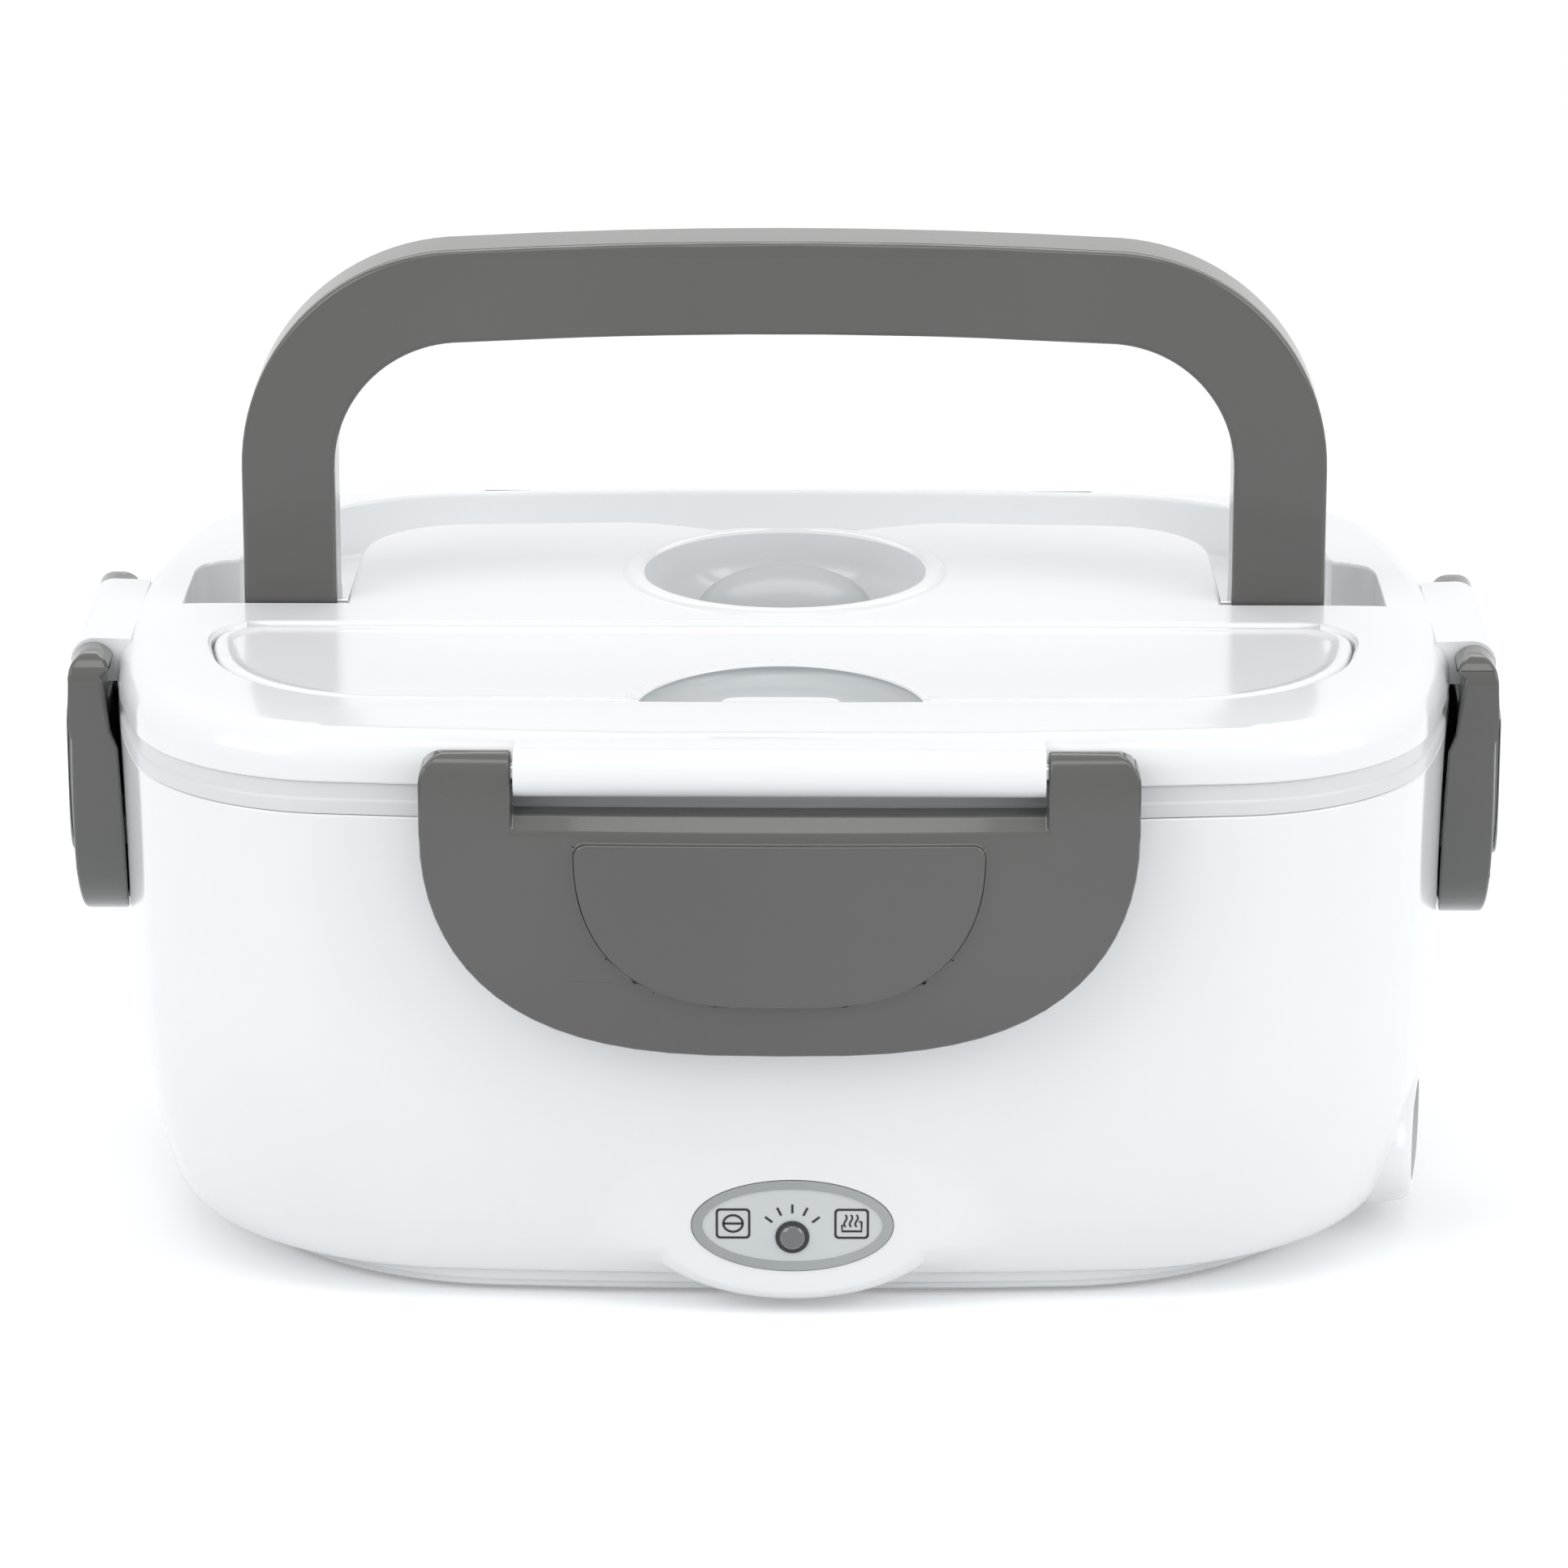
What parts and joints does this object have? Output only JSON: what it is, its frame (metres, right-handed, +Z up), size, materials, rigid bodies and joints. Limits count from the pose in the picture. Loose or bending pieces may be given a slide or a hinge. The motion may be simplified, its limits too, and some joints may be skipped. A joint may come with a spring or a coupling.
{
  "type": "electric lunch box",
  "caption": "Electric lunch box with heated tub, lift-out container, latched lid, fold-flat carry handle, spoon bay and steam vent",
  "frame": {"origin": "on the floor, under the middle of the box", "axes": "+X to the right along the length of the box, towards the power inlet; +Y to the back; +Z up. The lamp and the front latch face -Y"},
  "size_m": [0.2406, 0.1716, 0.1608],
  "materials": {
    "white_shell": "glossy white",
    "grey": "satin grey",
    "frosted": "frosted, slightly see-through",
    "ivory": "smooth",
    "silicone": "soft, matt",
    "rubber": "matt",
    "plate": "pressed, satin",
    "steel": "plain",
    "brass": "bright",
    "badge": "satin silver",
    "lens": "smoked, clear",
    "board": "lacquered board",
    "dark_plastic": "matt",
    "wire_red": "insulation",
    "wire_dark": "insulation"
  },
  "bodies": {
    "tub": {"housing_shell": "white_shell", "inner_tub": "white_shell", "base_cover": "white_shell", "base_screws": "steel", "feet": "rubber", "heating_plate": "plate", "plate_gasket": "silicone", "ptc_heater": "plate", "heater_clamp": "steel", "clamp_screws": "steel", "thermostat": "dark_plastic", "thermal_fuse": "steel", "heater_wires": "wire_red", "inlet_socket": "dark_plastic", "inlet_pins": "brass", "lamp_badge": "badge", "lamp_lens": "lens", "lamp_board": "board", "lamp_wires": "wire_dark"},
    "container": {"inner_container": "frosted"},
    "dish": {"dish_box": "frosted"},
    "dish_cover": {"dish_lid": "frosted"},
    "lid": {"lid_shell": "white_shell", "lid_liner": "white_shell", "lid_seal": "silicone", "spoon": "ivory", "handle_pins": "steel", "latch_pins_long": "steel", "latch_pins_short": "steel"},
    "handle": {"handle_grip": "grey"},
    "bay_cover": {"spoon_cover": "white_shell"},
    "vent": {"vent_plug": "frosted"},
    "front_clip": {"latch_front": "grey"},
    "back_clip": {"latch_back": "grey"},
    "left_clip": {"latch_left": "grey"},
    "right_clip": {"latch_right": "grey"}
  },
  "joints": [
    {"name": "lid_lift", "type": "slide", "parent": "tub", "child": "lid", "axis": [0, 0, 1], "range_m": [0, 0.3]},
    {"name": "container_lift", "type": "slide", "parent": "tub", "child": "container", "axis": [0, 0, 1], "range_m": [0, 0.1]},
    {"name": "dish_lift", "type": "slide", "parent": "container", "child": "dish", "axis": [0, 0, 1], "range_m": [0, 0.075]},
    {"name": "dish_lid_lift", "type": "slide", "parent": "dish", "child": "dish_cover", "axis": [0, 0, 1], "range_m": [0, 0.045]},
    {"name": "handle_fold", "type": "hinge", "parent": "lid", "child": "handle", "pos_m": [0, 0.0064, 0.0964], "axis": [-1, 0, 0], "range_deg": [0, 90]},
    {"name": "front_clip_open", "type": "hinge", "parent": "lid", "child": "front_clip", "pos_m": [0, -0.0798, 0.0942], "axis": [-1, 0, 0], "range_deg": [0, 110]},
    {"name": "back_clip_open", "type": "hinge", "parent": "lid", "child": "back_clip", "pos_m": [0, 0.0798, 0.0942], "axis": [1, 0, 0], "range_deg": [0, 110]},
    {"name": "left_clip_open", "type": "hinge", "parent": "lid", "child": "left_clip", "pos_m": [-0.1143, 0, 0.0942], "axis": [0, 1, 0], "range_deg": [0, 110]},
    {"name": "right_clip_open", "type": "hinge", "parent": "lid", "child": "right_clip", "pos_m": [0.1143, 0, 0.0942], "axis": [0, -1, 0], "range_deg": [0, 110]},
    {"name": "bay_cover_open", "type": "hinge", "parent": "lid", "child": "bay_cover", "pos_m": [0, -0.0142, 0.09732], "axis": [-1, 0, 0], "range_deg": [0, 75]},
    {"name": "vent_plug_lift", "type": "slide", "parent": "lid", "child": "vent", "axis": [0, 0, 1], "range_m": [0, 0.0045]}
  ],
  "couplings": [
    {"joint": "container_lift", "follows": "lid_lift", "ratio": 0.3333},
    {"joint": "dish_lift", "follows": "lid_lift", "ratio": 0.25},
    {"joint": "dish_lid_lift", "follows": "lid_lift", "ratio": 0.15}
  ]
}
